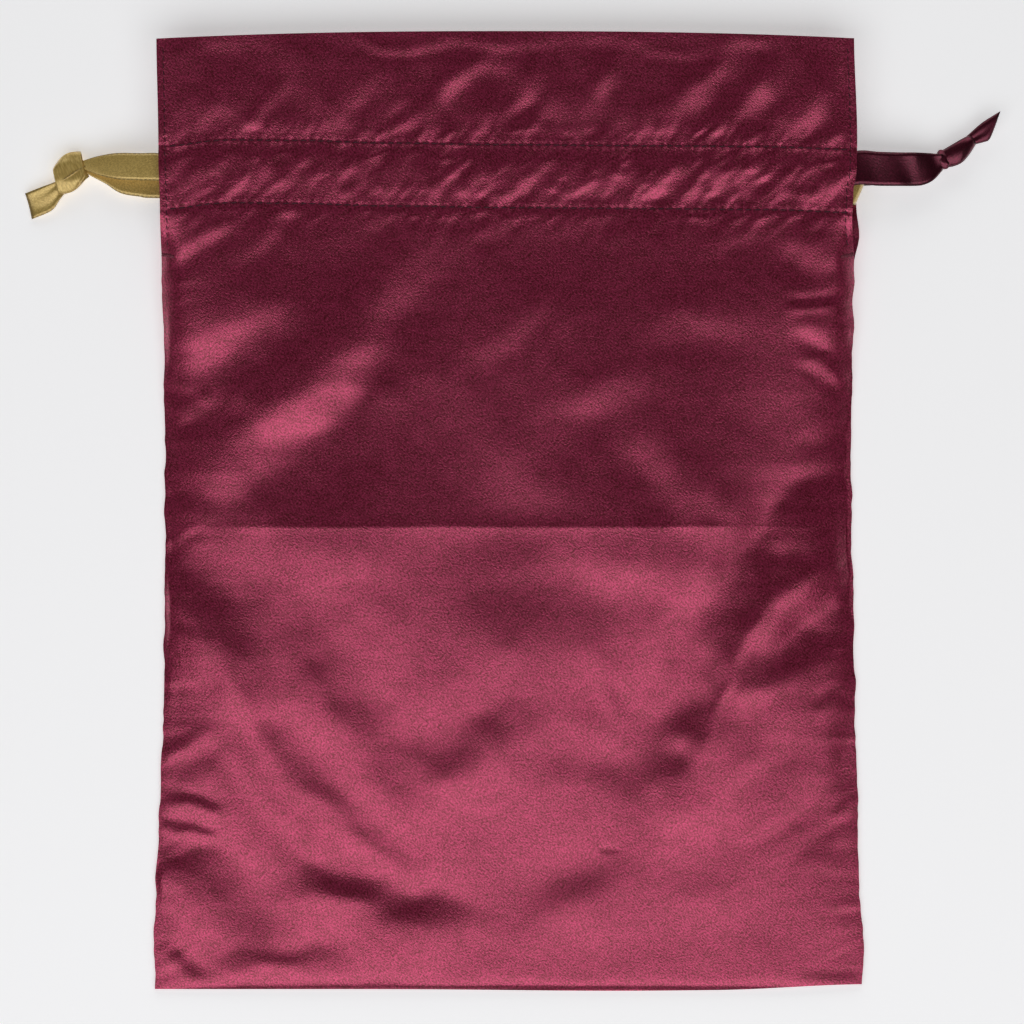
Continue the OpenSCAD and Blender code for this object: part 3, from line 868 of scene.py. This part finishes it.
def barTack(hand):
    # Dense zigzag of thread across the foot of the slit
    sign = signOf[hand]
    turns = np.arange(tack["turns"])
    x = edgeX(np.full(len(turns), place["slit"]), sign) - sign * (0.1 + turns * tack["spacing"])
    y = place["slit"] - 0.4 + tack["half"] * (turns % 2 * 2 - 1) - tack["drop"] * turns
    piece = stitches(hand + "BarTack", np.stack([x, y], axis=1), onTack, tackStitch)
    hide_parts(hand + "_bar_tack")
    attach(piece, sides[hand])


barTack("left")
barTack("right")
print("sewing made")


ribbon = {"thickness": 0.22, "across": 9, "step": 0.8}
ribbonCut = (0.010, 0.480)  # width and length as cut, in metres


def smoothLine(points, count):
    # Catmull-Rom curve through the points, sampled evenly along its length
    p = np.asarray(points, float)
    p = np.concatenate([2 * p[:1] - p[1:2], p, 2 * p[-1:] - p[-2:-1]])
    out = []
    for i in range(1, len(p) - 2):
        t = np.linspace(0, 1, 25)[:-1, None]
        a, b, c, d = p[i - 1], p[i], p[i + 1], p[i + 2]
        out.append(0.5 * (2 * b + (c - a) * t + (2 * a - 5 * b + 4 * c - d) * t ** 2
                          + (3 * b - a - 3 * c + d) * t ** 3))
    line = np.concatenate(out + [p[-2:-1]])
    travel = np.concatenate([[0], np.cumsum(np.linalg.norm(np.diff(line, axis=0), axis=1))])
    even = np.linspace(0, travel[-1], count)
    return np.stack([np.interp(even, travel, line[:, k]) for k in range(3)], axis=1), travel[-1]


def band(sections, crown=0.3, pleat=0.0, cut=False):
    # Ribbon between two edges: each section is (x, y, z) of one edge, then of the other
    sections = np.asarray(sections, float)
    middleLine = (sections[:, :3] + sections[:, 3:]) / 2
    count = max(8, int(smoothLine(middleLine, 9)[1] / ribbon["step"]))
    one, length = smoothLine(sections[:, :3], count)
    two, _ = smoothLine(sections[:, 3:], count)
    v = np.linspace(0, 1, ribbon["across"])[None, :, None]
    grid = one[:, None, :] * (1 - v) + two[:, None, :] * v
    n = surfaceNormals(grid)
    along = np.linspace(0, 1, count)[:, None, None]
    bulge = crown * (1 - (2 * v - 1) ** 2)
    bulge = bulge + pleat * np.sin(v * 3.1 * math.pi) * (1 - along) * np.sin(v * math.pi)
    return {"grid": grid + n * bulge, "length": length, "cut": cut}


def ribbonPiece(name, bands, material):
    # Every band as a skin above and below its middle surface, and a mark on the rows at a cut end
    points, faces, uvs, ends = [], [], [], []
    travel = 0.0
    for item in bands:
        grid = item["grid"]
        ny, nx = grid.shape[:2]
        n = surfaceNormals(grid)
        first = sum(len(p) for p in points)
        half = n * ribbon["thickness"] / 2
        points += [(grid + half).reshape(-1, 3), (grid - half).reshape(-1, 3)]
        skins = gridFaces(nx, ny, first) + gridFaces(nx, ny, first + nx * ny, True)
        walls = [[first + c for c in face] for face in rim(ny, nx, nx * ny)]
        faces += skins + walls
        along = np.linspace(0, item["length"], ny) + travel
        v, u = np.meshgrid(along, np.linspace(0, ribbonCut[0] / mm, nx), indexing="ij")
        flat = np.stack([u, v], axis=2).reshape(-1, 2)
        uvs += [flat, flat]
        end = np.zeros((ny, nx))
        if item["cut"]:
            end[-1:] = 1
            end[-2:-1] = 0.35
        ends += [end.ravel(), end.ravel()]
        travel += item["length"]
    piece = addPiece(name, np.concatenate(points) * mm, faces, np.concatenate(uvs))
    mark = piece.data.attributes.new("cutEnd", "FLOAT", "POINT")
    mark.data.foreach_set("value", np.concatenate(ends).astype(np.float32))
    dress(piece, material)
    return piece


def level(x, high, low, z, tilt=0.0):
    # A section straight across the ribbon: its upper and lower edge at one place along x
    return (x, high, z + tilt, x, low, z - tilt)


gf, gb = place["goldFront"], place["goldBack"]  # heights of the two runs in the casing
bf, bb = place["burgundyFront"], place["burgundyBack"]
centre = (gf + gb) / 2

goldFrontRun = band([
    level(-122.6, 101.0, 98.8, 3.9), level(-118, 102.3, 97.0, 4.9), level(-112.5, 103.1, 95.6, 6.1),
    level(-106, 103.0, 95.2, 7.05), level(-100, 102.9, 95.0, 7.65), level(-93, 101.4, 94.0, gf),
    level(-80, 99.0, 93.8, gf), level(20, 99.0, 93.8, gf), level(40, 96.5, 91.2, gf),
    level(60, 93.6, 88.3, gf), level(94, 93.6, 88.3, gf), level(98, 94.6, 88.3, gf - 0.1),
    (101.2, 95.2, gf - 0.9, 99.1, 88.3, gf - 1.1), (102.4, 95.0, centre, 99.6, 88.3, centre),
    (101.2, 94.6, gb + 1.4, 99.0, 88.3, gb + 1.2), level(98, 94.0, 88.3, gb + 0.1),
], 0.12)
goldBackRun = band([
    level(98, 94.0, 88.3, gb + 0.1), level(60, 93.6, 88.3, gb), level(40, 97.0, 89.4, gb),
    level(20, 99.2, 90.2, gb), level(-60, 99.2, 90.2, gb), level(-100, 99.6, 90.5, gb + 0.1),
    level(-106, 99.8, 90.9, gb + 0.3), level(-111.7, 100, 91.9, gb + 0.8),
    level(-116, 100, 94.6, 2.4), level(-120.2, 100, 96.8, 3.0), level(-122.6, 100, 98.4, 3.4),
], 0.1)
goldTail = band([
    (-129.2, 95.6, 3.0, -126.8, 93.0, 3.0), (-131.2, 94.7, 3.3, -129.2, 89.9, 2.8),
    (-134.5, 93.6, 2.5, -131.6, 86.9, 1.7), (-139.3, 91.9, 1.1, -137.4, 84.5, 0.5),
], 0.5, 0.45, True)


def wrap(middle, axis, length, wide, high, taper, swing=0.0):
    # Ribbon rolled round the knot: rings about the axis, squashed flat, drawn in at both ends
    axis = np.array(axis, float) / np.linalg.norm(axis)
    aside = np.array([-axis[1], axis[0], 0.0])
    ny, nx = 27, 41
    around = np.linspace(0, 2 * math.pi, nx)[None, :]
    v = np.linspace(-1, 1, ny)[:, None]
    draw = 1 - taper * np.abs(v) ** 2.4
    fold = 1 + 0.05 * np.sin(3 * around + 2.2 * v) + 0.03 * np.sin(7 * around - 3 * v)
    a = wide * draw * fold * np.sign(np.cos(around)) * np.abs(np.cos(around)) ** 0.85
    b = high * draw * fold * np.sign(np.sin(around)) * np.abs(np.sin(around)) ** 0.8
    slide = v * length / 2 + swing * np.cos(around) * (1 + 0 * v)
    grid = np.array(middle)[None, None, :] + slide[..., None] * axis + a[..., None] * aside
    grid[..., 2] += b
    return {"grid": grid[:, ::-1], "length": length, "cut": False}


goldWrap = wrap((-126.3, 97.7, 2.75), (-0.86, -0.5, 0), 9.2, 4.9, 2.4, 0.28, 1.2)
goldCross = band([
    (-121.6, 99.6, 4.4, -120.6, 96.6, 3.0), (-124.2, 98.0, 5.5, -123.0, 94.6, 3.8),
    (-127.2, 96.0, 5.4, -125.6, 92.9, 3.6), (-130.0, 95.0, 4.0, -128.0, 92.2, 2.6),
], 0.5)
goldBands = [goldFrontRun, goldBackRun, goldWrap, goldCross, goldTail]
goldRibbon = ribbonPiece("goldRibbon", goldBands, materials["gold"])
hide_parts("gold_ribbon", "gold_knot")
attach(goldRibbon, "gold_pull")

centre = (bf + bb) / 2
burgundyFrontRun = band([
    level(124.8, 102.8, 98.4, 4.2, 0.9), level(122, 103.1, 95.4, 4.8, 0.1),
    level(119, 103.2, 94.0, 5.6, 0.5), level(116, 103.2, 93.7, 6.4, 0.9),
    level(112, 103.2, 93.6, 7.2, 0.3), level(106, 103.3, 93.6, 8.0, 0.5),
    level(100, 103.6, 93.8, bf), level(92, 101.4, 92.0, bf), level(78, 99.0, 90.4, bf),
    level(-20, 99.0, 90.4, bf), level(-40, 97.0, 90.0, bf), level(-60, 93.6, 88.3, bf),
    level(-94, 93.6, 88.3, bf), level(-97, 93.6, 88.3, bf - 0.2),
    level(-98.6, 93.6, 88.3, bf - 1.4), level(-99.0, 93.6, 88.3, centre),
    level(-98.6, 93.6, 88.3, bb + 1.4), level(-97, 93.6, 88.3, bb + 0.2),
], 0.12)
burgundyBackRun = band([
    level(-97, 93.6, 88.3, bb + 0.2), level(-60, 93.6, 88.3, bb), level(-40, 97.0, 90.0, bb),
    level(-20, 99.0, 92.0, bb), level(30, 99.0, 94.2, bb), level(80, 99.0, 94.2, bb),
    level(92, 101.4, 94.0, bb), level(100, 103.0, 94.0, bb), level(106, 102.8, 94.2, bb + 0.2),
    level(113, 102.6, 94.6, 2.6), level(119, 102.2, 95.6, 3.3), level(124.4, 101.4, 98.8, 3.8),
], 0.1)
burgundyWrap = wrap((125.0, 101.5, 3.1), (0.62, 0.4, 0), 2.6, 2.7, 1.6, 0.25, 0.3)
burgundyCross = band([
    (124.6, 104.0, 3.4, 126.0, 99.2, 3.4), (128.2, 106.1, 4.9, 129.6, 100.1, 4.4),
    (130.6, 107.5, 4.6, 132.2, 102.6, 4.0), (132.4, 108.4, 3.6, 134.4, 106.0, 3.4),
], 0.9)
burgundyUnder = band([
    (124.6, 104.0, 3.0, 126.0, 99.2, 3.0), (128.2, 105.7, 2.0, 129.6, 100.4, 2.0),
    (132.4, 108.2, 3.2, 134.2, 106.1, 3.0),
], -0.7)
burgundyTail = band([
    (131.6, 108.0, 3.4, 133.8, 105.8, 3.3), (135.6, 111.6, 3.9, 136.6, 106.5, 3.2),
    (138.6, 113.6, 4.0, 138.3, 107.3, 3.4), (141.4, 115.3, 4.1, 139.9, 111.2, 3.8),
], 0.4, 0.3, True)
burgundyBands = [burgundyFrontRun, burgundyBackRun, burgundyWrap]
burgundyBands += [burgundyCross, burgundyUnder, burgundyTail]
burgundyRibbon = ribbonPiece("burgundyRibbon", burgundyBands, materials["burgundy"])
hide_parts("burgundy_ribbon", "burgundy_knot")
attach(burgundyRibbon, "burgundy_pull")
print("ribbons made")


floorLook = {"half": 3.0, "below": 0.0005, "tone": 0.93, "rough": 0.9, "glow": 0.42}
half, below = floorLook["half"], -floorLook["below"]
corners = [(-half, -half, below), (half, -half, below), (half, half, below), (-half, half, below)]
floor = addPiece("floor", corners, [[0, 1, 2, 3]])
paper = bpy.data.materials.new("paleFloor")
paper.use_nodes = True
paperShader = paper.node_tree.nodes["Principled BSDF"]
paperShader.inputs["Base Color"].default_value = (*[floorLook["tone"]] * 3, 1)
paperShader.inputs["Roughness"].default_value = floorLook["rough"]
paperShader.inputs["Emission Color"].default_value = (1, 1, 1, 1)
paperShader.inputs["Emission Strength"].default_value = floorLook["glow"]
floor.data.materials.append(paper)

# How bright each lit surface looks, not its power
lights = {"main": 1.46, "side": 1.2, "horizon": 0.75, "zenith": 0.10}


def softbox(name, at, size, bright):
    # A flat panel of even brightness that faces the sack: power = pi * area * brightness
    lamp = bpy.data.lights.new(name, "AREA")
    lamp.shape = "RECTANGLE"
    lamp.size, lamp.size_y = size
    lamp.energy = math.pi * size[0] * size[1] * bright
    holder = bpy.data.objects.new(name, lamp)
    bpy.context.scene.collection.objects.link(holder)
    holder.location = at
    holder.rotation_euler = (-Vector(at)).to_track_quat("-Z", "Y").to_euler()
    return holder


softbox("mainBox", (-0.05, -0.72, 1.05), (2.2, 1.1), lights["main"]).data.color = (0.97, 0.97, 1.0)
softbox("backBox", (0, 1.9, 0.9), (2.6, 1.2), lights["side"])


def makeWorld(low, high):
    # Even round the horizon and darker overhead: brightness = high + low * (1 - z^2)^2
    world = bpy.data.worlds.new("studio")
    world.use_nodes = True
    tree = world.node_tree
    split = tree.nodes.new("ShaderNodeSeparateXYZ")
    link(tree, tree.nodes.new("ShaderNodeTexCoord").outputs["Generated"], split.inputs["Vector"])
    height = mathNode(tree, "MULTIPLY", split.outputs["Z"], split.outputs["Z"])
    glow = mathNode(tree, "SUBTRACT", 1.0, height)
    glow = mathNode(tree, "MULTIPLY", mathNode(tree, "MULTIPLY", glow, glow), low)
    link(tree, mathNode(tree, "ADD", glow, high), tree.nodes["Background"].inputs["Strength"])
    return world


bpy.context.scene.world = makeWorld(lights["horizon"], lights["zenith"])
bpy.context.scene.view_settings.view_transform = "Standard"

camera = bpy.data.cameras.new("view")
camera.lens = 150
camera.sensor_width = 36
eye = bpy.data.objects.new("view", camera)
bpy.context.scene.collection.objects.link(eye)
viewWidth = 0.2934  # width of the view at the height of the cloth
eye.location = (0.0010, 0.0001, 0.008 + viewWidth * camera.lens / camera.sensor_width)
bpy.context.scene.camera = eye
print("stage made")
